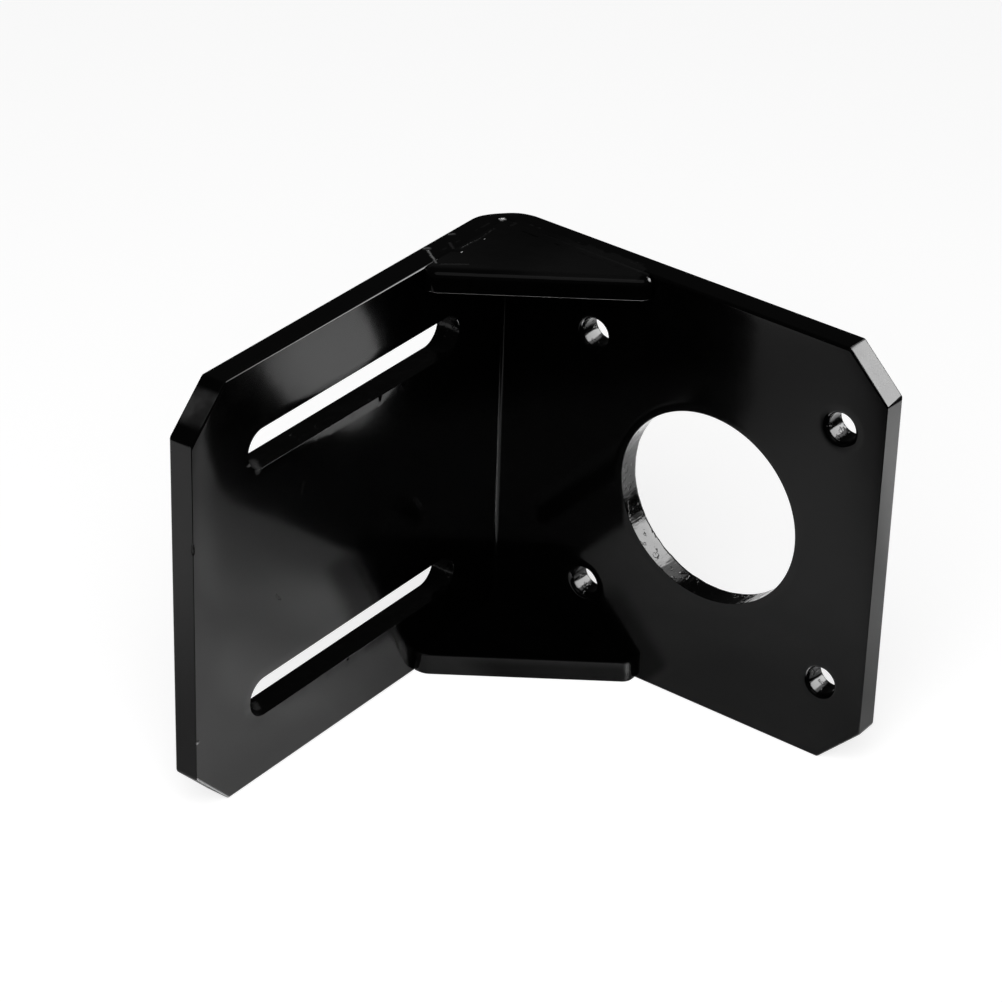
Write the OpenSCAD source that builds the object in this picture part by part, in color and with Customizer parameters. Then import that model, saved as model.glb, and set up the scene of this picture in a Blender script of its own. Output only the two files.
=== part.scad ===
// Mounting bracket for a 42 mm frame stepper motor: one steel sheet folded to a right angle,
// with a triangular gusset welded in at each side edge of the fold.
// The origin is on the axis of the motor's pilot bore, at the motor plate's inner face.
// +Z runs along the fold, +Y through the motor plate and out of the angle, and the slotted
// base plate stands on the -X side. The space for the motor is inside the angle, at -Y.

/* [Angle plate] */
// Height of both plates, along the fold
plate_h = 50; // [46:0.5:70]
// Thickness of the folded sheet
sheet_t = 3; // [2:0.1:5]
// Distance from the pilot bore's axis to the free end of the motor plate
pilot_to_end = 20.8; // [19.5:0.1:45]
// Length of the base plate, over the outer face of the motor plate
base_plate_l = 53.5; // [50:0.5:90]
// Radius of the fold at the inner faces
bend_r = 0.5; // [0.3:0.1:1]
// Radius of the fold at the outer faces
bend_outer_r = 5; // [3:0.5:6]
// Leg of the 45 degree cuts at the free corners
corner_cut = 5; // [1:0.5:6]

/* [Motor holes] */
// Diameter of the pilot bore
pilot_d = 22.2; // [16:0.1:30]
// Distance of the pilot bore's axis from the base plate's inner face
pilot_to_base = 27.6; // [24:0.1:30]
// Side of the square of screw holes
screw_spacing = 31; // [28:0.5:36]
// Diameter of the screw holes
screw_d = 3.4; // [2.5:0.1:4.5]

/* [Base slots] */
// Width of a slot
slot_w = 4.6; // [3:0.1:7]
// Length of a slot over its round ends
slot_l = 34.4; // [15:0.1:36]
// Distance between the slots' centre lines
slot_spacing = 30; // [24:0.5:32]
// Distance from the motor plate's inner face to the near end of a slot
slot_start = 7.6; // [5:0.1:10]

/* [Gussets] */
// Thickness of a gusset
gusset_t = 2.5; // [1.5:0.1:4]
// Length of a gusset along the motor plate
gusset_motor_l = 19.5; // [10:0.5:24]
// Length of a gusset along the base plate
gusset_base_l = 14.2; // [8:0.1:24]
// Height of a gusset's blunt tips
gusset_tip = 1.2; // [0.5:0.1:4]
// Depth of the weld seam, which is twice as wide
weld_depth = 1; // [0.5:0.1:1.4]

/* [Hidden] */
$fn = 96;
// How far a cutting solid runs past the face that it cuts
past = 1;
paint = [0.03, 0.03, 0.035];
weld_paint = [0.05, 0.05, 0.055];
base_inner_x = -pilot_to_base;
base_outer_x = base_inner_x - sheet_t;
base_end_y = sheet_t - base_plate_l;

// What a quarter round of the given radius takes off a square corner that points to -X and +Y
module corner_waste(radius, reach) {
    difference() {
        translate([-reach, -radius]) square([radius + reach, radius + reach]);
        translate([radius, -radius]) circle(r = radius);
    }
}

// The open space inside the angle, whose corner is the fold's inner round
module inner_space() {
    translate([base_inner_x, 0]) difference() {
        translate([0, base_end_y - past]) square([pilot_to_end - base_inner_x + past, past - base_end_y]);
        corner_waste(bend_r, 0);
    }
}

// The sheet's section across the fold, whose outer round is larger than a plain bend leaves
module angle_section() {
    difference() {
        translate([base_outer_x, base_end_y]) square([pilot_to_end - base_outer_x, sheet_t - base_end_y]);
        inner_space();
        translate([base_outer_x, sheet_t]) corner_waste(bend_outer_r, past);
    }
}

// A triangle of the given leg, for a 45 degree cut, with its right angle past the corner at the origin
module corner_triangle(leg) {
    polygon([[-leg, past], [past, past], [past, -leg], [0, -leg], [-leg, 0]]);
}

// Both free corners of the motor plate
module motor_corner_cuts() {
    for (side = [0, 1]) mirror([0, 0, side])
        translate([pilot_to_end, sheet_t + past, plate_h / 2]) rotate([90, 0, 0])
            linear_extrude(sheet_t + 2 * past) corner_triangle(corner_cut);
}

// Both free corners of the base plate
module base_corner_cuts() {
    for (side = [0, 1]) mirror([0, 0, side])
        translate([base_inner_x + past, base_end_y, plate_h / 2]) rotate([90, 0, -90])
            linear_extrude(sheet_t + 2 * past) corner_triangle(corner_cut);
}

// The pilot bore and the square of screw holes, through the motor plate
module motor_holes() {
    translate([0, sheet_t + past, 0]) rotate([90, 0, 0]) {
        cylinder(d = pilot_d, h = sheet_t + 2 * past);
        for (x = [-1, 1], z = [-1, 1])
            translate([x, z] * screw_spacing / 2) cylinder(d = screw_d, h = sheet_t + 2 * past);
    }
}

// One long slot through the base plate, centred at its own height
module base_slot() {
    near_y = -slot_start - slot_w / 2;
    far_y = -slot_start - slot_l + slot_w / 2;
    translate([base_outer_x - past, 0, 0]) {
        for (y = [near_y, far_y])
            translate([0, y, 0]) rotate([0, 90, 0]) cylinder(d = slot_w, h = sheet_t + 2 * past);
        translate([0, far_y, -slot_w / 2]) cube([sheet_t + 2 * past, near_y - far_y, slot_w]);
    }
}

// Outline of a gusset: its square corner is rounded to seat in the fold, and both tips are blunt
module gusset_outline() {
    translate([base_inner_x, 0]) difference() {
        polygon([
            [0, 0], [gusset_motor_l, 0], [gusset_motor_l, -gusset_tip],
            [gusset_tip, -gusset_base_l], [0, -gusset_base_l]
        ]);
        corner_waste(bend_r, past);
    }
}

// Section of a weld seam: a V across the joint, flush with the plates' side edge
module weld_section() {
    polygon([[-weld_depth, 0], [weld_depth, 0], [0, -weld_depth]]);
}

// The seam between the upper gusset and the sheet, along both plates and round their corner
module weld_seam() {
    translate([base_inner_x, 0, plate_h / 2]) {
        translate([gusset_motor_l, 0, 0]) rotate([90, 0, -90])
            linear_extrude(gusset_motor_l) weld_section();
        rotate([90, 0, 0]) linear_extrude(gusset_base_l) weld_section();
        rotate([0, 0, 90]) rotate_extrude(angle = 90)
            polygon([[0, 0], [0, -weld_depth], [weld_depth, 0]]);
    }
}

module angle_plate() {
    color(paint) difference() {
        translate([0, 0, -plate_h / 2]) linear_extrude(plate_h) angle_section();
        motor_corner_cuts();
        base_corner_cuts();
        motor_holes();
        for (side = [-1, 1]) translate([0, 0, side * slot_spacing / 2]) base_slot();
        for (side = [0, 1]) mirror([0, 0, side]) weld_seam();
    }
}

module gusset() {
    color(paint) difference() {
        translate([0, 0, plate_h / 2 - gusset_t]) linear_extrude(gusset_t) gusset_outline();
        weld_seam();
    }
}

module gusset_top() {
    gusset();
}

module gusset_bottom() {
    mirror([0, 0, 1]) gusset();
}

module weld_top() {
    color(weld_paint) weld_seam();
}

module weld_bottom() {
    color(weld_paint) mirror([0, 0, 1]) weld_seam();
}

angle_plate();
gusset_top();
gusset_bottom();
weld_top();
weld_bottom();
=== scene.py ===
"""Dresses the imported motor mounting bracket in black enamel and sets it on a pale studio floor.

Lengths in a dataclass are in millimetres unless it says otherwise, in the CAD frame: the origin is
on the pilot bore's axis at the motor plate's inner face, +Z runs along the fold, +Y out through
the motor plate, and the base plate stands on the -X side. Finished meshes are shrunk to metres.
"""

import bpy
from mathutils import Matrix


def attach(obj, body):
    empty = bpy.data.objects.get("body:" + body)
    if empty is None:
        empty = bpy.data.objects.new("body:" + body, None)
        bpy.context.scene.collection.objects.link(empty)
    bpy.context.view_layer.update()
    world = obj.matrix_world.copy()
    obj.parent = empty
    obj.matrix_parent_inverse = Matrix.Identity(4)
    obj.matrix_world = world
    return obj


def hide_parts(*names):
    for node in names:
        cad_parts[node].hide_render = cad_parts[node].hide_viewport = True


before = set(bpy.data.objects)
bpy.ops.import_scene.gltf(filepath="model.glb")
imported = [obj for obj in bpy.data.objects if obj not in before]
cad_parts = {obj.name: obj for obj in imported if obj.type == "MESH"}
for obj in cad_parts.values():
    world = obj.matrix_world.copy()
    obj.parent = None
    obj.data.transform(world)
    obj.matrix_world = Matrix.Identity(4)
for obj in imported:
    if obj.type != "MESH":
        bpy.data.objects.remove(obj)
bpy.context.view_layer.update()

import logging
import math
from collections.abc import Callable, Iterable
from dataclasses import dataclass, field
from enum import Enum
from functools import reduce

import bmesh
import bpy
from mathutils import Matrix, Vector, noise

log = logging.getLogger("bracket")

MM = 0.001
CLOSE = 0.001
Point = tuple[float, float, float]
Place = tuple[float, float]
NodeTree = bpy.types.NodeTree
Node = bpy.types.Node
Socket = bpy.types.NodeSocket
Material = bpy.types.Material
Object = bpy.types.Object
BMesh = bmesh.types.BMesh
BMEdge = bmesh.types.BMEdge
BMFace = bmesh.types.BMFace


class End(Enum):
    """The end of the fold that a gusset and its weld close."""

    TOP = 1
    BOTTOM = -1


# Node helpers


class NodeWriter:
    """Adds nodes to one tree and links them as they are made."""

    def __init__(self, tree: NodeTree) -> None:
        """Keeps the tree that the nodes go into."""
        self.tree = tree

    @classmethod
    def fresh(cls, holder: Material | bpy.types.World) -> "NodeWriter":
        """Empties the node tree of a material or a world and returns its writer."""
        holder.use_nodes = True
        holder.node_tree.nodes.clear()
        return cls(holder.node_tree)

    def add(self, kind: str, inputs: dict[str | int, object] | None = None, **values: object) -> Node:
        """Adds one node.

        Args:
            kind: The node's type name.
            inputs: Socket names or numbers with a value or the socket to link from.
            values: Properties of the node itself, which are set first.

        Returns:
            The new node.
        """
        node = self.tree.nodes.new(kind)
        for name, value in values.items():
            setattr(node, name, value)
        for name, value in (inputs or {}).items():
            if isinstance(value, Socket):
                self.tree.links.new(value, node.inputs[name])
            else:
                node.inputs[name].default_value = value
        return node

    def math(self, operation: str, a: Socket | float, b: Socket | float = 0.0, clamp: bool = False) -> Socket:
        """Adds a Math node and returns its value."""
        return self.add("ShaderNodeMath", {0: a, 1: b}, operation=operation, use_clamp=clamp).outputs[0]

    def combine(self, operation: str, values: Iterable[Socket | float]) -> Socket:
        """Joins all the values with one Math operation, in order."""
        return reduce(lambda a, b: self.math(operation, a, b), values)

    def vector(self, operation: str, a: Socket | Point, b: Socket | Point = (0.0, 0.0, 0.0)) -> Node:
        """Adds a Vector Math node."""
        return self.add("ShaderNodeVectorMath", {0: a, 1: b}, operation=operation)

    def scaled(self, a: Socket, factor: Socket | float) -> Socket:
        """Multiplies a vector by a number."""
        return self.add("ShaderNodeVectorMath", {0: a, "Scale": factor}, operation="SCALE").outputs[0]

    def parts(self, place: Socket) -> list[Socket]:
        """Splits a vector into its x, y and z."""
        return list(self.add("ShaderNodeSeparateXYZ", {0: place}).outputs)

    def group(self, tree: NodeTree, inputs: dict[str, object]) -> Node:
        """Adds a use of a node group with its inputs."""
        return self.add("ShaderNodeGroup", inputs, node_tree=tree)

    def ramp(self, value: Socket, low: float, high: float, start: float = 0.0, end: float = 1.0) -> Socket:
        """Maps value smoothly from the span low..high to start..end and returns the result."""
        inputs = {0: value, 1: low, 2: high, 3: start, 4: end}
        return self.add("ShaderNodeMapRange", inputs, interpolation_type="SMOOTHSTEP").outputs[0]

    def noise(self, place: Socket, scale: float, detail: float = 2.0, rough: float = 0.5) -> Socket:
        """Adds a Noise Texture on place and returns its factor."""
        inputs = {"Vector": place, "Scale": scale, "Detail": detail, "Roughness": rough}
        return self.add("ShaderNodeTexNoise", inputs).outputs["Fac"]

    def spread(self, value: Socket, start: float, end: float) -> Socket:
        """Maps the span where most of a noise's factor lies to start..end."""
        return self.ramp(value, 0.3, 0.7, start, end)

    def grey(self, level: Socket) -> Socket:
        """Turns a number into a grey colour."""
        return self.add("ShaderNodeCombineColor", {"Red": level, "Green": level, "Blue": level}).outputs[0]


class GroupMaker:
    """Starts a shader node group with named inputs and outputs."""

    def __init__(self, name: str, inputs: dict[str, float | Point], output: str) -> None:
        """Makes the group and its sockets.

        Args:
            name: The group's name.
            inputs: Inputs with their values: a number makes a float and a tuple a vector.
            output: Name of the number that the group gives.
        """
        self.tree = bpy.data.node_groups.new(name, "ShaderNodeTree")
        for label, value in {"Place": (0.0, 0.0, 0.0), **inputs}.items():
            kind = "NodeSocketVector" if isinstance(value, tuple) else "NodeSocketFloat"
            made = self.tree.interface.new_socket(label, in_out="INPUT", socket_type=kind)
            made.default_value = value
        self.tree.interface.new_socket(output, in_out="OUTPUT", socket_type="NodeSocketFloat")
        self.writer = NodeWriter(self.tree)
        self.given = self.tree.nodes.new("NodeGroupInput").outputs
        self.taken = self.tree.nodes.new("NodeGroupOutput").inputs[output]

    def finish(self, value: Socket) -> NodeTree:
        """Links value to the group's output and returns the group."""
        self.tree.links.new(value, self.taken)
        return self.tree


def orange_peel_group() -> NodeTree:
    """Builds the shared skin of sprayed enamel: long waves, fine orange peel and dust nibs.

    Returns:
        A group with a Height in millimetres.
    """
    wave_scale, lump_scale, peel_scale, nib_scale = 110.0, 420.0, 900.0, 420.0
    nib_core, nib_rim, nib_height = 0.02, 0.09, 0.012
    kit = GroupMaker("orange_peel", {"Wave": 0.02, "Lump": 0.0, "Peel": 0.004, "Nib Density": 0.5}, "Height")
    w, given = kit.writer, kit.given
    place = given["Place"]
    wave = w.math("MULTIPLY", w.noise(place, wave_scale, 1.0), given["Wave"])
    lump = w.math("MULTIPLY", w.noise(place, lump_scale, 1.0), given["Lump"])
    peel = w.math("MULTIPLY", w.noise(place, peel_scale, 2.0), given["Peel"])
    cell = {"Vector": place, "Scale": nib_scale, "Randomness": 1.0}
    cells = w.add("ShaderNodeTexVoronoi", cell, feature="F1")
    chosen = w.math("LESS_THAN", cells.outputs["Color"], given["Nib Density"])
    bead = w.ramp(cells.outputs["Distance"], nib_core, nib_rim, 1.0, 0.0)
    nibs = w.math("MULTIPLY", w.math("MULTIPLY", chosen, bead), nib_height)
    return kit.finish(w.combine("ADD", (wave, lump, peel, nibs)))


def torn_wall_group() -> NodeTree:
    """Builds the shared look of a cut wall: drag lines across the sheet and torn pits under the paint.

    Returns:
        A group with a Height in millimetres.
    """
    coarse_scale, drag_scale, pit_scale = 330.0, 1400.0, 1300.0
    drag_share, pit_share = 0.36, 0.3
    along_sheet = (1.0, 0.25, 1.0)
    kit = GroupMaker("torn_wall", {"Depth": 0.03}, "Height")
    w, given = kit.writer, kit.given
    place = given["Place"]
    coarse = w.noise(place, coarse_scale, 1.0)
    drawn = w.vector("MULTIPLY", place, along_sheet).outputs[0]
    drag = w.math("MULTIPLY", w.noise(drawn, drag_scale), drag_share)
    pits = w.ramp(w.noise(place, pit_scale), 0.57, 0.65, 0.0, -pit_share)
    return kit.finish(w.math("MULTIPLY", w.combine("ADD", (coarse, drag, pits)), given["Depth"]))


def mark_group() -> NodeTree:
    """Builds the shared shape of one small mark: a groove, a pit or a lump along a short line in space.

    Returns:
        A group with a Height in millimetres, 0 away from the mark and minus Depth in its middle.
    """
    tiny = 1e-12
    inputs = {"From": (0.0, 0.0, 0.0), "To": (0.0, 0.0, 0.0), "Radius": 0.0002, "Depth": 0.1}
    kit = GroupMaker("paint_mark", inputs, "Height")
    w, given = kit.writer, kit.given
    out = w.vector("SUBTRACT", given["Place"], given["From"]).outputs[0]
    line = w.vector("SUBTRACT", given["To"], given["From"]).outputs[0]
    along = w.vector("DOT_PRODUCT", out, line).outputs["Value"]
    whole = w.math("ADD", w.vector("DOT_PRODUCT", line, line).outputs["Value"], tiny)
    share = w.math("DIVIDE", along, whole, clamp=True)
    foot = w.scaled(line, share)
    gap = w.vector("LENGTH", w.vector("SUBTRACT", out, foot).outputs[0]).outputs["Value"]
    near = w.ramp(w.math("DIVIDE", gap, given["Radius"]), 0.0, 1.0, -1.0, 0.0)
    return kit.finish(w.math("MULTIPLY", near, given["Depth"]))


def ground_patch_group() -> NodeTree:
    """Builds the shared mask of the top of the fold over the ground weld, where the enamel is lighter: partly
    thin paint and partly a painted sheen.

    Returns:
        A group with a Patch mask.
    """
    wander = 0.4 * MM
    kit = GroupMaker("ground_patch", {}, "Patch")
    w, place = kit.writer, kit.given["Place"]
    x, y, z = w.parts(place)
    ragged = w.spread(w.noise(place, 500.0, 3.0), -wander, wander)
    x = w.math("ADD", x, ragged)
    y = w.math("ADD", y, ragged)
    sides = (
        w.ramp(x, -22.5 * MM, -15.0 * MM, 0.1, 1.0),
        w.ramp(x, -9.6 * MM, -9.2 * MM, 1.0, 0.0),
        w.ramp(y, 0.9 * MM, 1.2 * MM, 1.0, 0.0),
        w.ramp(z, 24.6 * MM, 24.8 * MM),
    )
    return kit.finish(w.combine("MULTIPLY", sides))


@dataclass(frozen=True)
class Mark:
    """A small groove or pit in the paint, or a lump where its depth is below 0, with a lighter tone laid in
    it as a painted glint.
    """

    start: Point
    end: Point
    radius: float
    depth: float
    painted_glint: float = 0.0


# The last number of each mark is the tone of its painted glint.
TOP_MARKS = (
    Mark((-27.25, -8.0, 25.0), (-27.12, -5.2, 25.0), 0.17, 0.07, 0.016),
    Mark((-27.12, -5.2, 25.0), (-27.30, -2.2, 25.0), 0.13, 0.05, 0.006),
    Mark((-27.98, -0.10, 25.0), (-27.95, 0.02, 25.0), 0.44, 0.25, 0.85),
    Mark((-29.55, -10.75, 25.0), (-27.25, -12.35, 25.0), 0.22, 0.10, 0.16),
    Mark((-30.1, -10.6, 25.0), (-29.8, -10.3, 25.0), 0.42, 0.14, 0.10),
    Mark((-30.1, -6.4, 25.0), (-29.8, -6.0, 25.0), 0.30, 0.12, 0.06),
    Mark((-26.7, -12.25, 25.0), (-24.5, -10.45, 25.0), 0.24, 0.07, 0.022),
    Mark((-28.9, -7.9, 25.0), (-27.9, -8.6, 25.0), 0.24, 0.05, 0.016),
    Mark((-23.45, -11.9, 24.95), (-23.3, -11.9, 24.95), 0.20, 0.06, 0.45),
)

# Painted glints at the slots' ends.
SLOT_MARKS = (
    Mark((-29.2, -39.5, 12.7), (-27.7, -40.5, 12.75), 0.75, -0.006, 0.05),
    Mark((-29.6, -38.9, -17.25), (-28.9, -39.4, -17.25), 0.6, -0.006, 0.04),
)

# Marks on the base plate; the last number, where given, is a painted glint tone.
BASE_MARKS = (
    Mark((-27.6, -33.35, 8.0), (-27.6, -33.75, 6.7), 0.26, 0.012, 0.008),
    Mark((-27.6, -37.9, -3.4), (-27.6, -37.1, -4.4), 0.20, 0.02, 0.008),
    Mark((-27.7, -50.5, 8.6), (-27.7, -50.5, 7.6), 0.25, 0.03),
    Mark((-27.6, -50.3, -15.3), (-27.6, -50.2, -15.3), 0.26, -0.08, 0.12),
)


@dataclass(frozen=True)
class Enamel:
    """Thick gloss black enamel, sprayed and baked on steel."""

    name: str
    colour: float = 0.0005
    # Tone of the ground patch: partly thin paint, partly painted sheen.
    patch_paint_and_sheen: float = 0.0036
    roughness: float = 0.1
    ior: float = 1.27
    wave: float = 0.02
    lump: float = 0.0
    peel: float = 0.0012
    nibs: float = 0.05
    tear: float = 0.0
    # Painted sheen: a mottled lighter tone across the middle of the corner cuts.
    cut_sheen: float = 0.0
    cut_sheen_start: Place = (21.0, 21.9)
    cut_sheen_end: Place = (23.6, 24.3)
    roll: float = 0.0
    roll_span: Place = (-50.5, -42.5)
    marks: tuple[Mark, ...] = ()

    def build(self, groups: dict[str, NodeTree]) -> Material:
        """Makes the material.

        Args:
            groups: The shared node groups by their names.

        Returns:
            The enamel's material.
        """
        material = bpy.data.materials.new(self.name)
        w = NodeWriter.fresh(material)
        place = w.add("ShaderNodeTexCoord").outputs["Object"]
        skin = {"Wave": self.wave, "Lump": self.lump, "Peel": self.peel, "Nib Density": self.nibs}
        heights = [w.group(groups["orange_peel"], {"Place": place, **skin}).outputs["Height"]]
        haze = w.noise(place, 160.0, 3.0, 0.6)
        rough = w.spread(haze, self.roughness * 0.9, self.roughness * 1.12)
        tones = [w.spread(haze, self.colour * 0.8, self.colour * 1.3)]
        if self.tear:
            torn = w.group(groups["torn_wall"], {"Place": place, "Depth": self.tear})
            heights.append(torn.outputs["Height"])
        if self.marks:
            sunk, painted_glint = self.marked(w, place, groups["paint_mark"])
            patch = w.group(groups["ground_patch"], {"Place": place}).outputs["Patch"]
            heights.append(sunk)
            # Lighter tone of the ground patch (partly thin paint, partly painted sheen) and the marks'
            # painted glints.
            tones += [w.math("MULTIPLY", patch, self.patch_paint_and_sheen), painted_glint]
        if self.roll:
            heights.append(self.rolled(w, place))
        # Painted sheen on the corner cuts.
        if self.cut_sheen:
            tones.append(self.cut_sheen_tone(w, place))
        bump = w.add("ShaderNodeBump", {"Height": w.combine("ADD", heights), "Strength": 1.0, "Distance": MM})
        grey = w.grey(w.combine("ADD", tones))
        shader = w.add(
            "ShaderNodeBsdfPrincipled",
            {"Base Color": grey, "Roughness": rough, "IOR": self.ior, "Normal": bump.outputs[0]},
        )
        w.add("ShaderNodeOutputMaterial", {"Surface": shader.outputs[0]})
        return material

    def rolled(self, w: NodeWriter, place: Socket) -> Socket:
        """Adds the fall of the base plate's face towards its free end and returns its height."""
        low, high = self.roll_span
        span = {0: w.parts(place)[1], 1: low * MM, 2: high * MM, 3: 1.0, 4: 0.0}
        past = w.add("ShaderNodeMapRange", span).outputs[0]
        return w.math("MULTIPLY", w.math("POWER", past, 3.0), -self.roll)

    def cut_sheen_tone(self, w: NodeWriter, place: Socket) -> Socket:
        """Adds a mottled lighter tone in the middle of a corner cut, a painted sheen, and returns it."""
        worn = w.spread(w.noise(place, 420.0), 0.35 * self.cut_sheen, self.cut_sheen)
        level = w.math("ABSOLUTE", w.parts(place)[2])
        start = w.ramp(level, self.cut_sheen_start[0] * MM, self.cut_sheen_start[1] * MM)
        end = w.ramp(level, self.cut_sheen_end[0] * MM, self.cut_sheen_end[1] * MM, 1.0, 0.0)
        return w.combine("MULTIPLY", (worn, start, end))

    def marked(self, w: NodeWriter, place: Socket, group: NodeTree) -> tuple[Socket, Socket]:
        """Adds the small marks with slightly ragged outlines.

        Args:
            w: The writer of the material's tree.
            place: Object coordinates.
            group: The shared mark group.

        Returns:
            The marks' height in millimetres, and the painted glint tone that they add.
        """
        wander = 0.3 * MM
        grain = w.add("ShaderNodeTexNoise", {"Vector": place, "Scale": 2200.0, "Detail": 2.0})
        moved = w.scaled(grain.outputs["Color"], wander)
        moved = w.vector("ADD", moved, (-wander / 2, -wander / 2, -wander / 2)).outputs[0]
        ragged = w.vector("ADD", place, moved).outputs[0]
        heights: list[Socket] = []
        tones: list[Socket] = []
        for mark in self.marks:
            start = tuple(value * MM for value in mark.start)
            end = tuple(value * MM for value in mark.end)
            line = {"From": start, "To": end, "Radius": mark.radius * MM, "Depth": mark.depth}
            heights.append(w.group(group, {"Place": ragged, **line}).outputs["Height"])
            # Painted glint: a lighter tone laid into the mark.
            if mark.painted_glint:
                tones.append(w.math("MULTIPLY", heights[-1], -mark.painted_glint / mark.depth))
        return w.combine("ADD", heights), w.combine("ADD", tones)


@dataclass(frozen=True)
class Finishes:
    """The finishes of the bracket, built once."""

    sheet: Material
    wall: Material
    cut: Material
    gusset: Material
    weld: Material

    @classmethod
    def build(cls) -> "Finishes":
        """Makes every finish with its shared node groups.

        Returns:
            The built finishes.
        """
        made = (orange_peel_group(), torn_wall_group(), mark_group(), ground_patch_group())
        groups = {tree.name: tree for tree in made}
        sheet_marks = TOP_MARKS + SLOT_MARKS + BASE_MARKS
        kinds = {
            "sheet": Enamel("sheet_enamel", nibs=0.02, roll=0.14, marks=sheet_marks),
            "wall": Enamel("cut_wall_enamel", roughness=0.15, tear=0.12, marks=SLOT_MARKS),
            "cut": Enamel("corner_cut_enamel", lump=0.05, roughness=0.25, cut_sheen=0.026),
            "gusset": Enamel("gusset_enamel", wave=0.035, lump=0.035, nibs=0.0, marks=TOP_MARKS),
            "weld": Enamel("weld_enamel", wave=0.03, lump=0.03, tear=0.01, nibs=0.0, marks=TOP_MARKS),
        }
        return cls(**{slot: enamel.build(groups) for slot, enamel in kinds.items()})


# Mesh helpers


def smooth_piece(bm: BMesh, name: str, materials: Iterable[Material]) -> Object:
    """Turns a finished bmesh in millimetres into a smooth piece in metres that rides on the bracket.

    Args:
        bm: The closed mesh. It is freed.
        name: The piece's name.
        materials: The piece's materials, in slot order.

    Returns:
        The piece's object, at the origin.
    """
    bmesh.ops.remove_doubles(bm, verts=bm.verts[:], dist=CLOSE / 2)
    bmesh.ops.recalc_face_normals(bm, faces=bm.faces[:])
    loose = [e for e in bm.edges if len(e.link_faces) != 2]
    log.info("%s: %d faces, %d open edges", name, len(bm.faces), len(loose))
    bmesh.ops.scale(bm, vec=(MM, MM, MM), verts=bm.verts[:])
    for face in bm.faces:
        face.smooth = True
    mesh = bpy.data.meshes.new(name)
    bm.to_mesh(mesh)
    bm.free()
    for material in materials:
        mesh.materials.append(material)
    piece = bpy.data.objects.new(name, mesh)
    bpy.context.scene.collection.objects.link(piece)
    weighted = piece.modifiers.new("face_weighted_normals", "WEIGHTED_NORMAL")
    weighted.mode = "FACE_AREA"
    weighted.weight = 90
    weighted.keep_sharp = False
    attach(piece, "root")
    return piece


def sharp_edges(bm: BMesh, least: float = 25.0) -> list[BMEdge]:
    """The edges whose two faces meet at more than least degrees."""
    limit = math.radians(least)
    return [e for e in bm.edges if len(e.link_faces) == 2 and e.calc_face_angle() > limit]


def round_edges(bm: BMesh, edges: list[BMEdge], radius: float, segments: int = 5) -> None:
    """Rounds the given edges with one bevel."""
    bmesh.ops.bevel(
        bm, geom=edges, offset=radius, offset_type="OFFSET", affect="EDGES", segments=segments,
        profile=0.5, material=-1, clamp_overlap=False,
    )


def ripple(point: Vector, scale: float, seed: float = 0.0) -> float:
    """Smooth noise between -1 and 1 at a point in millimetres, with scale as its wavelength."""
    return noise.noise(Vector((point.x / scale + seed, point.y / scale, point.z / scale)))


@dataclass(frozen=True)
class RimShares:
    """How large the rounding of each kind of edge is, as a share of the sheet's edge_radius."""

    plain: float = 0.62
    free_end: float = 0.08
    motor_cut: float = 0.4
    base_top: float = 0.05
    base_top_end: float = 0.02
    base_top_fade: Place = (-47.0, -40.0)
    bore: float = 0.1
    bore_back: float = 1.3
    screw: float = 0.8
    screw_back: float = 0.5
    slot: float = 0.12
    slot_low: float = 0.03
    slot_teeth: float = 0.05


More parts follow.
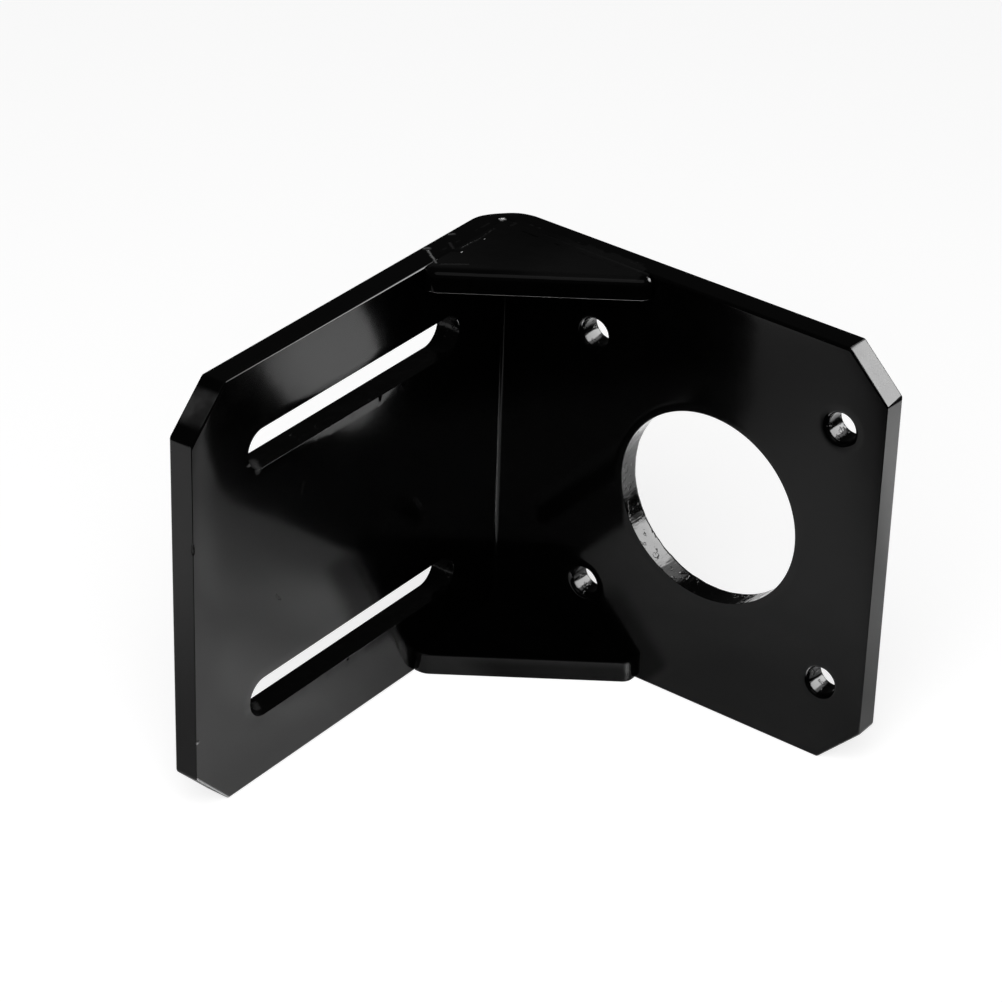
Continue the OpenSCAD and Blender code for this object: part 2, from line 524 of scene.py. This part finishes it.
@dataclass
class FoldedSheet:
    """The sheet with its fold, its bore, its screw holes and its slots.

    It is laid out as a flat blank with x along the sheet and y along the fold: the motor plate is at
    x above 0, the base plate is past the bend strip, and z is the thickness, 0 at the inner face.
    """

    height: float = 49.94
    thickness: float = 3.0
    inner_radius: float = 0.45
    inner_share: float = 0.3
    outer_radius: float = 5.0
    crown_drop: float = 0.38
    strip: float = 6.0
    bend_steps: int = 26
    pilot_to_base: float = 27.6
    pilot_to_end: float = 20.8
    base_length: float = 53.5
    corner_cut: float = 5.0
    pilot_d: float = 22.2
    pilot_steps: int = 240
    screw_square: float = 31.0
    screw_d: float = 3.4
    screw_steps: int = 72
    slot_w: float = 4.6
    slot_l: float = 34.4
    slot_spacing: float = 30.0
    slot_start: float = 7.6
    slot_steps: int = 64
    slot_step: float = 0.25
    gusset_reach: float = 8.0
    edge_radius: float = 0.5
    rim: float = 1.2
    shares: RimShares = RimShares()
    finishes: Finishes | None = None

    @property
    def seat(self) -> float:
        """Distance from the inner corner of the fold to where the bend strip starts."""
        return self.outer_radius - self.thickness

    @property
    def motor_run(self) -> float:
        """Length of the motor plate past the bend strip."""
        return self.pilot_to_end + self.pilot_to_base - self.seat

    @property
    def base_run(self) -> float:
        """Length of the base plate past the bend strip."""
        return self.base_length - self.outer_radius

    @property
    def holes(self) -> list[tuple[Place, float, float, int]]:
        """Every hole of the blank: its middle, its radius, its straight length and its steps."""
        bore_x = self.pilot_to_base - self.seat
        half = self.screw_square / 2
        found = [((bore_x, 0.0), self.pilot_d / 2, 0.0, self.pilot_steps)]
        for x in (-half, half):
            for y in (-half, half):
                found.append(((bore_x + x, y), self.screw_d / 2, 0.0, self.screw_steps))
        slot_x = -self.strip - (self.slot_start + self.slot_l / 2 - self.seat)
        for y in (-self.slot_spacing / 2, self.slot_spacing / 2):
            found.append(((slot_x, y), self.slot_w / 2, self.slot_l - self.slot_w, self.slot_steps))
        return found

    @property
    def sides(self) -> list[tuple[Vector, float]]:
        """Every straight side of the blank: its outward direction and its distance from the origin."""
        right, left, top = self.motor_run, self.strip + self.base_run, self.height / 2
        found = [(Vector((1, 0)), right), (Vector((-1, 0)), left)]
        for y in (-1, 1):
            found.append((Vector((0, y)), top))
            for x, end in ((1, right), (-1, left)):
                found.append((Vector((x, y)).normalized(), (end + top - self.corner_cut) / math.sqrt(2)))
        return found

    def outline(self, bm: BMesh, inset: float) -> list[BMEdge]:
        """Lays the blank's outline with its corner cuts.

        Args:
            bm: The mesh that takes the outline.
            inset: How far inside the true outline the loop runs.

        Returns:
            The loop's edges.
        """
        right = self.motor_run - inset
        left = -self.strip - self.base_run + inset
        top = self.height / 2 - inset
        leg = self.corner_cut - inset * (2 - math.sqrt(2))
        corners = [
            (right, top - leg), (right - leg, top), (left + leg, top), (left, top - leg),
            (left, leg - top), (left + leg, -top), (right - leg, -top), (right, leg - top),
        ]
        verts = [bm.verts.new((x, y, 0)) for x, y in corners]
        return [bm.edges.new((a, b)) for a, b in zip(verts, verts[1:] + verts[:1])]

    def stadium(self, bm: BMesh, centre: Place, radius: float, length: float, steps: int) -> list[BMEdge]:
        """Lays a circle, or a round-ended slot where length is above 0.

        Args:
            bm: The mesh that takes the loop.
            centre: The loop's middle on the blank.
            radius: Radius of the round ends.
            length: Distance between the centres of the round ends.
            steps: Number of edges of the whole circle.

        Returns:
            The loop's edges.
        """
        turn = Matrix.Translation((*centre, 0)) @ Matrix.Rotation(math.pi / steps, 4, "Z")
        made = bmesh.ops.create_circle(bm, cap_ends=False, segments=steps, radius=radius, matrix=turn)
        verts = made["verts"]
        edges = {e for v in verts for e in v.link_edges}
        if length > 0:
            for side in (-1, 1):
                half = [v for v in verts if (v.co.x - centre[0]) * side > 0]
                bmesh.ops.translate(bm, vec=(side * length / 2, 0, 0), verts=half)
            long_edges = [e for e in edges if e.calc_length() > length * 0.9]
            cuts = round(length / self.slot_step)
            split = bmesh.ops.subdivide_edges(bm, edges=long_edges, cuts=cuts)
            edges |= {g for g in split["geom_split"] + split["geom_inner"] if isinstance(g, BMEdge)}
        return [e for e in edges if e.is_valid]

    def hole(self, bm: BMesh, centre: Place, radius: float, length: float, steps: int) -> list[BMEdge]:
        """Lays a ring of quads round a hole.

        Args:
            bm: The mesh that takes the ring.
            centre: The hole's middle on the blank.
            radius: Radius of the hole's round ends.
            length: Distance between the centres of the round ends, 0 for a round hole.
            steps: Number of edges of the whole circle.

        Returns:
            The edges of the ring's outer loop.
        """
        inner = self.stadium(bm, centre, radius, length, steps)
        outer = self.stadium(bm, centre, radius + self.rim, length, steps)
        if len(inner) != len(outer):
            raise ValueError(f"the loops round the hole at {centre} differ: {len(inner)} and {len(outer)}")
        bmesh.ops.bridge_loops(bm, edges=inner + outer)
        return outer

    def blank(self) -> BMesh:
        """Builds the flat blank with its holes, as one layer of faces.

        Returns:
            The blank.
        """
        bm = bmesh.new()
        border = self.outline(bm, 0.0)
        inside = self.outline(bm, self.rim)
        bmesh.ops.bridge_loops(bm, edges=border + inside)
        loops = inside
        for centre, radius, length, steps in self.holes:
            loops += self.hole(bm, centre, radius, length, steps)
        bmesh.ops.triangle_fill(bm, use_beauty=True, use_dissolve=False, edges=loops, normal=(0, 0, 1))
        for step in range(self.bend_steps + 1):
            place = (-self.strip * step / self.bend_steps, 0, 0)
            geom = bm.verts[:] + bm.edges[:] + bm.faces[:]
            bmesh.ops.bisect_plane(bm, geom=geom, dist=1e-5, plane_co=place, plane_no=(1, 0, 0))
        return bm

    def finish_slot(self, face: BMFace) -> int:
        """The material slot of a face of the thick blank: 1 on a hole's wall, 2 on a corner cut, else 0."""
        on_side = any(abs(gap) < 0.02 for gap, _ in self.side_gaps(face.calc_center_median()))
        if abs(face.normal.z) < 0.5 and not on_side:
            return 1
        return 2 if min(abs(face.normal.x), abs(face.normal.y)) > 0.6 else 0

    def side_gaps(self, point: Vector) -> list[tuple[float, Vector]]:
        """The distance of a point of the blank from every side, with that side's outward direction."""
        flat = Vector((point.x, point.y))
        return [(reach - way.dot(flat), way) for way, reach in self.sides]

    def is_inner(self, point: Vector) -> bool:
        """Tells whether a point of the thick blank is nearer to its inner face."""
        return point.z < self.thickness / 2

    def side_share(self, point: Vector, way: Vector) -> float:
        """How large the rounding of an outer edge is, as a share of edge_radius.

        Args:
            point: A point of the blank near the edge.
            way: The outward direction of the edge's side.

        Returns:
            The share, with the lumps that thick paint leaves.
        """
        shares = self.shares
        lumps = 1 + 0.22 * ripple(point, 1.7) + 0.16 * ripple(point, 0.6, 5.0)
        if not self.is_inner(point):
            return shares.plain * lumps
        if way.y > 0.9 and point.x < -self.strip - self.gusset_reach:
            low, high = shares.base_top_fade
            grown = min(1.0, max(0.0, (point.x - low) / (high - low)))
            return (shares.base_top_end + (shares.base_top - shares.base_top_end) * grown) * lumps
        if abs(way.x) > 0.9:
            return shares.free_end * lumps
        if way.y > 0.5 and way.x > 0.5:
            return shares.motor_cut * lumps
        return shares.plain * lumps

    def hole_share(self, point: Vector, radius: float, way: Vector) -> float:
        """How large the rounding of a hole's rim is, as a share of edge_radius.

        Args:
            point: A point of the blank near the rim.
            radius: Radius of the hole's round ends.
            way: The direction from the middle of the hole to the point.

        Returns:
            The share, with the torn teeth of a slot's lower rim.
        """
        shares, inner = self.shares, self.is_inner(point)
        if radius > self.slot_w:
            wear = 1 + 0.14 * ripple(point, 1.1) + 0.08 * ripple(point, 0.4, 3.0)
            return (shares.bore if inner else shares.bore_back) * wear
        if radius < self.slot_w / 2:
            return (shares.screw if inner else shares.screw_back) * (1 + 0.1 * ripple(point, 1.0))
        if way.y > 0.2 or not inner:
            return shares.slot
        teeth = max(0.0, ripple(point, 0.55) + 0.5 * ripple(point, 1.6, 4.0) - 0.1)
        return shares.slot_low + shares.slot_teeth * teeth

    def rims_near(self, point: Vector) -> list[tuple[Vector, float, float]]:
        """Finds the rounded rims that a vertex of the thick blank belongs to.

        Args:
            point: The vertex's place.

        Returns:
            For each rim its outward direction, the vertex's distance from it and its share.
        """
        reach = self.edge_radius + CLOSE
        found: list[tuple[Vector, float, float]] = []
        for gap, way in self.side_gaps(point):
            if gap < reach:
                found.append((way, gap, self.side_share(point, way)))
        for centre, radius, length, _ in self.holes:
            along = point.x - centre[0]
            near = max(-length / 2, min(length / 2, along))
            out = Vector((along - near, point.y - centre[1]))
            gap = out.length - radius
            if gap < reach:
                way = out.normalized()
                found.append((-way, gap, self.hole_share(point, radius, way)))
        return found

    def tune_rims(self, bm: BMesh) -> None:
        """Gives every rounded rim its own radius by drawing its vertices towards the sharp edge."""
        for vert in bm.verts:
            rims = self.rims_near(vert.co)
            if not rims:
                continue
            size = sum(share for _, _, share in rims) / len(rims)
            inner = self.is_inner(vert.co)
            depth = (vert.co.z if inner else self.thickness - vert.co.z) * size
            if len(rims) == 1:
                way, gap, share = rims[0]
                push = way * gap * (1 - share)
            else:
                (a, gap_a, share_a), (b, gap_b, share_b) = rims[:2]
                turn = Matrix(((a.x, a.y), (b.x, b.y)))
                push = turn.inverted() @ Vector((gap_a * (1 - share_a), gap_b * (1 - share_b)))
            vert.co = (vert.co.x + push.x, vert.co.y + push.y, depth if inner else self.thickness - depth)

    def bend_paths(self, part: float) -> tuple[Vector, Vector]:
        """The inner and the outer point of the bend's section.

        Args:
            part: How far along the bend, from 0 at the motor plate to 1 at the base plate.

        Returns:
            Both points, in the CAD frame's x and y.
        """
        corner = Vector((-self.pilot_to_base, 0))
        turn = math.pi / 2 * (1 + part)
        reach = self.outer_radius - self.crown_drop * math.sin(math.pi * part) ** 2
        outer = corner + Vector((self.seat, -self.seat)) + reach * Vector((math.cos(turn), math.sin(turn)))
        radius, straight = self.inner_radius, self.seat - self.inner_radius
        run = (1 - self.inner_share) / 2
        if part < run:
            return corner + Vector((self.seat - straight * part / run, 0)), outer
        if part > 1 - run:
            return corner + Vector((0, -radius - straight * (part - 1 + run) / run)), outer
        swing = math.pi / 2 * (1 + (part - run) / self.inner_share)
        return corner + radius * Vector((1 + math.cos(swing), math.sin(swing) - 1)), outer

    def fold(self, bm: BMesh) -> None:
        """Bends the thick blank to its right angle and brings it to its place in the CAD frame."""
        for vert in bm.verts:
            along, across, depth = vert.co
            if along >= 0:
                vert.co = (self.seat - self.pilot_to_base + along, depth, across)
            elif along <= -self.strip:
                vert.co = (-self.pilot_to_base - depth, along + self.strip - self.seat, across)
            else:
                inner, outer = self.bend_paths(-along / self.strip)
                vert.co = (*inner.lerp(outer, depth / self.thickness), across)

    def build(self) -> Object:
        """Builds, rounds and folds the sheet, and dresses it.

        Returns:
            The piece that stands for the CAD node angle_plate.
        """
        bm = self.blank()
        made = bmesh.ops.extrude_face_region(bm, geom=bm.faces[:])
        lifted = [g for g in made["geom"] if isinstance(g, bmesh.types.BMVert)]
        bmesh.ops.translate(bm, vec=(0, 0, self.thickness), verts=lifted)
        bmesh.ops.recalc_face_normals(bm, faces=bm.faces[:])
        for face in bm.faces:
            face.material_index = self.finish_slot(face)
        round_edges(bm, sharp_edges(bm), self.edge_radius)
        self.tune_rims(bm)
        self.fold(bm)
        finishes = self.finishes
        piece = smooth_piece(bm, "folded_sheet", [finishes.sheet, finishes.wall, finishes.cut])
        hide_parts("angle_plate")
        return piece


@dataclass
class Gusset:
    """A triangular plate with blunt tips, welded into one end of the fold."""

    end: End
    height: float = 49.94
    corner_x: float = -27.6
    thickness: float = 2.5
    motor_leg: float = 19.5
    base_leg: float = 14.2
    tip: float = 1.2
    seat_radius: float = 0.45
    upright_radius: float = 0.6
    large_radius: float = 0.95
    small_radius: float = 0.1
    finishes: Finishes | None = None

    def build(self) -> Object:
        """Builds and dresses the gusset.

        Returns:
            The piece that stands for the CAD node of this gusset.
        """
        bm = self.plate()
        corner = [e for e in bm.edges if all(self.at_corner(v.co) for v in e.verts)]
        round_edges(bm, corner, self.seat_radius, 8)
        upright = [e for e in sharp_edges(bm) if not self.is_level(e) and self.is_free(e)]
        round_edges(bm, upright, self.upright_radius, 4)
        rims = [e for e in sharp_edges(bm, 60) if self.is_level(e) and self.is_free(e)]
        top = self.height / 2
        large = [e for e in rims if self.end is End.TOP and e.verts[0].co.z > top - 0.1]
        round_edges(bm, large, self.large_radius, 6)
        small = [e for e in rims if e.is_valid and e not in large]
        round_edges(bm, small, self.small_radius, 3)
        if self.end is End.BOTTOM:
            bmesh.ops.scale(bm, vec=(1, 1, -1), verts=bm.verts[:])
        name = "upper_gusset" if self.end is End.TOP else "lower_gusset"
        piece = smooth_piece(bm, name, [self.finishes.gusset])
        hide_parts("gusset_top" if self.end is End.TOP else "gusset_bottom")
        return piece

    def plate(self) -> BMesh:
        """Builds the sharp-edged plate at the top of the fold.

        Returns:
            The plate's mesh.
        """
        bm = bmesh.new()
        outline = [
            (0, 0), (0, -self.base_leg), (self.tip, -self.base_leg),
            (self.motor_leg, -self.tip), (self.motor_leg, 0),
        ]
        verts = [bm.verts.new((self.corner_x + x, y, self.height / 2)) for x, y in outline]
        face = bm.faces.new(verts)
        bm.normal_update()
        made = bmesh.ops.extrude_face_region(bm, geom=[face])
        sunk = [g for g in made["geom"] if isinstance(g, bmesh.types.BMVert)]
        bmesh.ops.translate(bm, vec=(0, 0, -self.thickness), verts=sunk)
        bmesh.ops.recalc_face_normals(bm, faces=bm.faces[:])
        return bm

    def at_corner(self, point: Vector) -> bool:
        """Tells whether a point lies on the gusset's square corner."""
        return abs(point.x - self.corner_x) + abs(point.y) < CLOSE

    def is_level(self, edge: BMEdge) -> bool:
        """Tells whether an edge runs level."""
        return abs(edge.verts[0].co.z - edge.verts[1].co.z) < 0.01

    def is_free(self, edge: BMEdge) -> bool:
        """Tells whether an edge lies off the two plates that carry the gusset."""
        near = 0.01
        a, b = edge.verts
        on_base = max(a.co.x, b.co.x) < self.corner_x + near
        on_motor = min(a.co.y, b.co.y) > -near
        reach = self.seat_radius + near
        in_seat = all(v.co.x - self.corner_x < reach and v.co.y > -reach for v in edge.verts)
        return not (on_base or on_motor or in_seat)


@dataclass
class WeldSeam:
    """The seam between a gusset and the sheet, ground flush with the side edges and painted over."""

    end: End
    height: float = 50.0
    corner_x: float = -27.6
    bend_radius: float = 1.2
    bend_steps: int = 8
    depth: float = 1.0
    columns: int = 8
    motor_leg: float = 18.0
    base_leg: float = 12.7
    fade: float = 1.5
    sag: float = 0.035
    step: float = 0.3
    finishes: Finishes | None = None

    def build(self) -> Object:
        """Builds and dresses the seam.

        Returns:
            The piece that stands for the CAD node of this seam.
        """
        bm = bmesh.new()
        top = self.height / 2
        section = [bm.verts.new((self.corner_x, 0, top)) for _ in range(self.columns + 2)]
        for number, vert in enumerate(section[:-1]):
            across = self.depth * (1 - 2 * number / self.columns)
            vert.co = (self.corner_x + self.motor_leg, across, top)
        section[-1].co = (self.corner_x + self.motor_leg, 0, top - self.depth)
        cap = bm.faces.new(section)
        bm.normal_update()
        cap = self.run(bm, cap, Vector((-1, 0, 0)), self.motor_leg - self.bend_radius)
        middle = (self.corner_x + self.bend_radius, -self.bend_radius, top)
        made = bmesh.ops.spin(
            bm, geom=[cap], cent=middle, axis=(0, 0, 1), angle=math.pi / 2, steps=self.bend_steps,
            use_duplicate=False,
        )
        cap = next(g for g in made["geom_last"] if isinstance(g, BMFace))
        self.run(bm, cap, Vector((0, -1, 0)), self.base_leg - self.bend_radius)
        bmesh.ops.recalc_face_normals(bm, faces=bm.faces[:])
        self.wear(bm)
        if self.end is End.BOTTOM:
            bmesh.ops.scale(bm, vec=(1, 1, -1), verts=bm.verts[:])
        name = "upper_weld" if self.end is End.TOP else "lower_weld"
        piece = smooth_piece(bm, name, [self.finishes.weld])
        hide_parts("weld_top" if self.end is End.TOP else "weld_bottom")
        return piece

    def run(self, bm: BMesh, cap: BMFace, way: Vector, length: float) -> BMFace:
        """Draws the seam's end face out in short steps.

        Args:
            bm: The seam's mesh.
            cap: The face at the end so far.
            way: The direction of the run.
            length: Its length.

        Returns:
            The face at the new end.
        """
        steps = max(1, round(length / self.step))
        for _ in range(steps):
            cap = bmesh.ops.extrude_discrete_faces(bm, faces=[cap])["faces"][0]
            bmesh.ops.translate(bm, vec=way * (length / steps), verts=cap.verts[:])
        return cap

    def wear(self, bm: BMesh) -> None:
        """Grinds the seam's top slightly hollow and uneven, and lets both its ends fade out."""
        top = self.height / 2
        for vert in bm.verts:
            if vert.co.z > top - CLOSE:
                vert.co.z -= self.sag + 0.02 * ripple(vert.co, 1.4) + 0.012 * ripple(vert.co, 0.5, 7.0)
            past_leg = max(vert.co.x - self.corner_x - self.motor_leg, -vert.co.y - self.base_leg)
            reach = past_leg + self.fade
            if reach > 0:
                vert.co.z = min(vert.co.z, top - self.depth * (reach / self.fade) ** 1.5 * 0.98)


@dataclass
class Softbox:
    """A round soft light, aimed at the bracket. Its distance and size are in metres."""

    name: str
    direction: Point
    distance: float
    size: float
    radiance: float
    seen_in_gloss: bool = True

    def build(self) -> Object:
        """Hangs the light.

        Returns:
            The light's object.
        """
        lamp = bpy.data.lights.new(self.name, "AREA")
        lamp.shape = "DISK"
        lamp.size = self.size
        lamp.energy = self.radiance * math.pi * (math.pi * self.size * self.size / 4)
        light = bpy.data.objects.new(self.name, lamp)
        way = Vector(self.direction).normalized()
        light.location = way * self.distance
        light.rotation_mode = "QUATERNION"
        light.rotation_quaternion = way.to_track_quat("Z", "Y")
        light.visible_glossy = self.seen_in_gloss
        light.visible_camera = False
        bpy.context.scene.collection.objects.link(light)
        log.info("%s: %.2f W", self.name, lamp.energy)
        return light


@dataclass(frozen=True)
class RoomLamp:
    """A round lamp of the room that only gloss shows, with the half angles of its core and its rim."""

    direction: Point
    core: float
    rim: float
    level: float

    def build(self, w: NodeWriter, way: Socket) -> Socket:
        """Adds the lamp to the room and returns its level along the ray way."""
        near = w.vector("DOT_PRODUCT", way, tuple(Vector(self.direction).normalized())).outputs["Value"]
        rim, core = (math.cos(math.radians(angle)) for angle in (self.rim, self.core))
        return w.ramp(near, rim, core, 0.0, self.level)


@dataclass(frozen=True)
class Oval:
    """A soft oval on the floor: level out to half its radii, and outside past its rim."""

    middle: Place
    radii: Place
    level: float
    outside: float = 0.0

    def build(self, w: NodeWriter, place: Socket) -> Socket:
        """Adds the oval and returns its value at place."""
        x, y = self.middle
        away = w.vector("ADD", place, (-x * MM, -y * MM, 0.0)).outputs[0]
        wide, deep = self.radii
        away = w.vector("MULTIPLY", away, (1 / (wide * MM), 1 / (deep * MM), 0.0)).outputs[0]
        return w.ramp(w.vector("LENGTH", away).outputs["Value"], 0.5, 1.0, self.level, self.outside)


@dataclass(frozen=True)
class Band:
    """A soft step on the floor: start before low and end past high, measured along a direction."""

    along: Place
    low: float
    high: float
    start: float = 0.0
    end: float = 1.0

    def build(self, w: NodeWriter, place: Socket) -> Socket:
        """Adds the band and returns its value at place."""
        way = w.vector("DOT_PRODUCT", place, (*self.along, 0.0)).outputs["Value"]
        return w.ramp(way, self.low * MM, self.high * MM, self.start, self.end)


FloorForm = tuple[Oval | Band, ...]

TO_X, TO_Y = (1.0, 0.0), (0.0, 1.0)

# Painted sheen: ovals where the floor's gloss is brighter, seen only in reflections.
PAINTED_SHEEN_POOLS: FloorForm = (Oval((-1, -4), (22, 18), 1.15), Oval((-17, -21), (14, 13), 0.5))

# Painted glow: floor patches that shine in reflections though no lamp lights them.
GLOWS: tuple[FloorForm, ...] = (
    (Band(TO_Y, 12, 30, 0.0, 1.5), Oval((-4, 27), (22, 18), 0.5, 1.0), Band((1.0, -1.0), -5, 5, 1.0, 0.3)),
    (Band((-0.6, -0.8), 72, 112),),
    (Band(TO_Y, -30, -10, 0.35, 0.0),),
)

# Painted shade: parts of the floor that reflections show dark, standing in for the bracket's shadow and the
# dark side of the room.
SHADES: tuple[FloorForm, ...] = (
    (Band((0.8, -0.6), 18, 30),),
    (Band(TO_X, -36, -14, 0.38, 0.0),),
    (Oval((-6.2, 12.5), (6, 5), 0.85),),
    (Oval((6, -3), (20, 15), 0.15),),
    (Band(TO_X, -36, -31, 0.85, 0.0), Band(TO_Y, -56, -44), Band(TO_Y, -2, 6, 1.0, 0.0)),
    (
        Band((0.58, -0.82), -1.5, 1, 0.62, 0.0),
        Band(TO_Y, 0, 3, 1.0, 0.0),
        Band(TO_X, -7.5, -5.5, 1.0, 0.0),
        Band(TO_X, -24, -18),
    ),
)


@dataclass
class Studio:
    """The camera, the floor, the lights and the world round the bracket. The floor's size is in metres."""

    floor_z: float = -25.0
    floor_size: float = 12.0
    eye: Point = (194.8, -301.493, 217.813)
    ahead: Point = (-0.50646, 0.68838, -0.51927)
    right: Point = (0.79555, 0.60531, 0.02652)
    lens: float = 142.657
    sensor: float = 36.0
    sheen: float = 0.75
    sheen_roughness: float = 0.28
    far_start: float = 86.0
    far_end: float = 120.0
    far_shade: float = 0.97
    room: float = 0.038
    key_lamps: tuple[RoomLamp, ...] = (
        RoomLamp((0.525, 0.688, 0.501), 17.5, 22.0, 21.0),
        RoomLamp((0.12, 0.69, 0.715), 5.0, 12.0, 4.0),
    )
    back_lamp: RoomLamp = RoomLamp((0.45, 0.05, 0.89), 20.0, 28.0, 15.0)
    softboxes: list[Softbox] = field(
        default_factory=lambda: [
            Softbox("overhead_softbox", (0.29, -0.41, 0.85), 0.6, 0.42, 0.55),
            Softbox("fill_softbox", (0.33, -0.60, 0.73), 0.6, 0.5, 5.4, seen_in_gloss=False),
        ]
    )

    def camera(self) -> Object:
        """Sets the camera at the photograph's place."""
        data = bpy.data.cameras.new("studio_camera")
        data.lens = self.lens
        data.sensor_width = self.sensor
        data.clip_start = 0.01
        data.clip_end = 50.0
        camera = bpy.data.objects.new("studio_camera", data)
        ahead = Vector(self.ahead).normalized()
        right = (Vector(self.right) - ahead * ahead.dot(Vector(self.right))).normalized()
        up = right.cross(ahead)
        turn = Matrix((right, up, -ahead)).transposed()
        camera.matrix_world = Matrix.Translation(Vector(self.eye) * MM) @ turn.to_4x4()
        bpy.context.scene.collection.objects.link(camera)
        bpy.context.scene.camera = camera
        return camera

    def floor(self) -> Object:
        """Lays the pale floor, which shows white and keeps a soft shadow."""
        bm = bmesh.new()
        bmesh.ops.create_grid(bm, x_segments=2, y_segments=2, size=self.floor_size / 2)
        bmesh.ops.translate(bm, vec=(0, 0, self.floor_z * MM), verts=bm.verts[:])
        mesh = bpy.data.meshes.new("studio_floor")
        bm.to_mesh(mesh)
        bm.free()
        floor = bpy.data.objects.new("studio_floor", mesh)
        bpy.context.scene.collection.objects.link(floor)
        mesh.materials.append(self.floor_finish())
        return floor

    def floor_finish(self) -> Material:
        """Makes the floor's finish: white to the camera with the shadow kept, lit paper to diffuse light, and
        to gloss lit paper with painted sheen, painted glow and painted shade.

        Returns:
            The floor's material.
        """
        material = bpy.data.materials.new("pale_paper")
        w = NodeWriter.fresh(material)
        place = w.add("ShaderNodeTexCoord").outputs["Object"]
        path = w.add("ShaderNodeLightPath").outputs
        paper = w.grey(w.spread(w.noise(place, 300.0, 3.0), 0.76, 0.84))
        lit = w.add("ShaderNodeBsdfDiffuse", {"Color": paper}).outputs[0]
        dark = w.add("ShaderNodeEmission", {"Strength": 0.0}).outputs[0]
        satin = self.satin(w, place, lit)
        # Painted shade: the shade share swaps the satin floor for black in reflections.
        gloss_view = w.add("ShaderNodeMixShader", {0: self.shade(w, place), 1: satin, 2: dark}).outputs[0]
        pale = w.add("ShaderNodeBsdfDiffuse", {"Color": (0.35, 0.35, 0.35, 1)}).outputs[0]
        white = w.add("ShaderNodeEmission", {"Color": (1, 1, 1, 1), "Strength": 0.8}).outputs[0]
        camera_view = w.add("ShaderNodeAddShader", {0: pale, 1: white}).outputs[0]
        mirrored = w.math("MAXIMUM", path["Is Glossy Ray"], path["Is Transmission Ray"])
        for_gloss = w.add("ShaderNodeMixShader", {0: mirrored, 1: lit, 2: gloss_view}).outputs[0]
        shown = w.add("ShaderNodeMixShader", {0: path["Is Camera Ray"], 1: for_gloss, 2: camera_view})
        w.add("ShaderNodeOutputMaterial", {"Surface": shown.outputs[0]})
        return material

    def satin(self, w: NodeWriter, place: Socket, lit: Socket) -> Socket:
        """Adds the floor that gloss sees: lit paper with a painted sheen that pools, and painted glowing
        parts that no lamp lights.

        Args:
            w: The writer of the floor's tree.
            place: Object coordinates.
            lit: The lit paper.

        Returns:
            The shader of that floor.
        """
        pools = [pool.build(w, place) for pool in PAINTED_SHEEN_POOLS]
        gloss = w.grey(w.combine("ADD", (*pools, self.sheen)))
        sheen = w.add("ShaderNodeBsdfGlossy", {"Color": gloss, "Roughness": self.sheen_roughness}).outputs[0]
        # Painted glow, seen only in reflections.
        glow = w.combine("ADD", [self.form(w, place, form) for form in GLOWS])
        glow = w.add("ShaderNodeEmission", {"Color": (1, 1, 1, 1), "Strength": glow}).outputs[0]
        satin = w.add("ShaderNodeAddShader", {0: lit, 1: sheen}).outputs[0]
        return w.add("ShaderNodeAddShader", {0: satin, 1: glow}).outputs[0]

    def shade(self, w: NodeWriter, place: Socket) -> Socket:
        """Adds the share of the floor that gloss sees dark, as painted shade.

        Args:
            w: The writer of the floor's tree.
            place: Object coordinates.

        Returns:
            The share, from 0 to 1.
        """
        x, y, _ = w.parts(place)
        reach = w.add("ShaderNodeCombineXYZ", {"X": x, "Y": w.math("MAXIMUM", y, 0.0)}).outputs[0]
        away = w.vector("LENGTH", reach).outputs["Value"]
        far = w.ramp(away, self.far_start * MM, self.far_end * MM, 0.0, self.far_shade)
        return w.combine("MAXIMUM", [far] + [self.form(w, place, form) for form in SHADES])

    def form(self, w: NodeWriter, place: Socket, form: FloorForm) -> Socket:
        """Adds the product of some ovals and bands on the floor and returns it."""
        return w.combine("MULTIPLY", [part.build(w, place) for part in form])

    def world(self) -> bpy.types.World:
        """Sets the dim room, which shows white to the camera, with the lamps that gloss shows.

        Returns:
            The world.
        """
        world = bpy.data.worlds.new("studio_room")
        bpy.context.scene.world = world
        w = NodeWriter.fresh(world)
        path = w.add("ShaderNodeLightPath").outputs
        way = w.add("ShaderNodeTexCoord").outputs["Generated"]
        deep = w.math("GREATER_THAN", path["Glossy Depth"], 1.5)
        key = w.combine("MAXIMUM", [lamp.build(w, way) for lamp in self.key_lamps])
        back = self.back_lamp.build(w, way)
        seen = w.add("ShaderNodeMix", {"Factor": deep, "A": key, "B": back}).outputs["Result"]
        room = w.math("ADD", w.math("MULTIPLY", path["Is Glossy Ray"], seen), self.room)
        shown = w.add("ShaderNodeMix", {"Factor": path["Is Camera Ray"], "A": room, "B": 1.0})
        level = shown.outputs["Result"]
        shown = w.add("ShaderNodeBackground", {"Color": (1, 1, 1, 1), "Strength": level}).outputs[0]
        w.add("ShaderNodeOutputWorld", {"Surface": shown})
        return world

    def build(self) -> None:
        """Builds the whole studio."""
        self.camera()
        self.floor()
        self.world()
        for softbox in self.softboxes:
            softbox.build()
        bpy.context.scene.view_settings.view_transform = "Standard"
        log.info("studio: camera, floor, world and %d softboxes", len(self.softboxes))


def main() -> None:
    """Builds the bracket's pieces in order, then the studio."""
    logging.basicConfig(level=logging.INFO, format="%(name)s: %(message)s")
    finishes = Finishes.build()
    builders: list[Callable[[], Object]] = [FoldedSheet(finishes=finishes).build]
    for end in End:
        builders.append(Gusset(end, finishes=finishes).build)
        builders.append(WeldSeam(end, finishes=finishes).build)
    for builder in builders:
        piece = builder()
        log.info("%s is in place", piece.name)
    Studio().build()


if __name__ == "__main__":
    main()
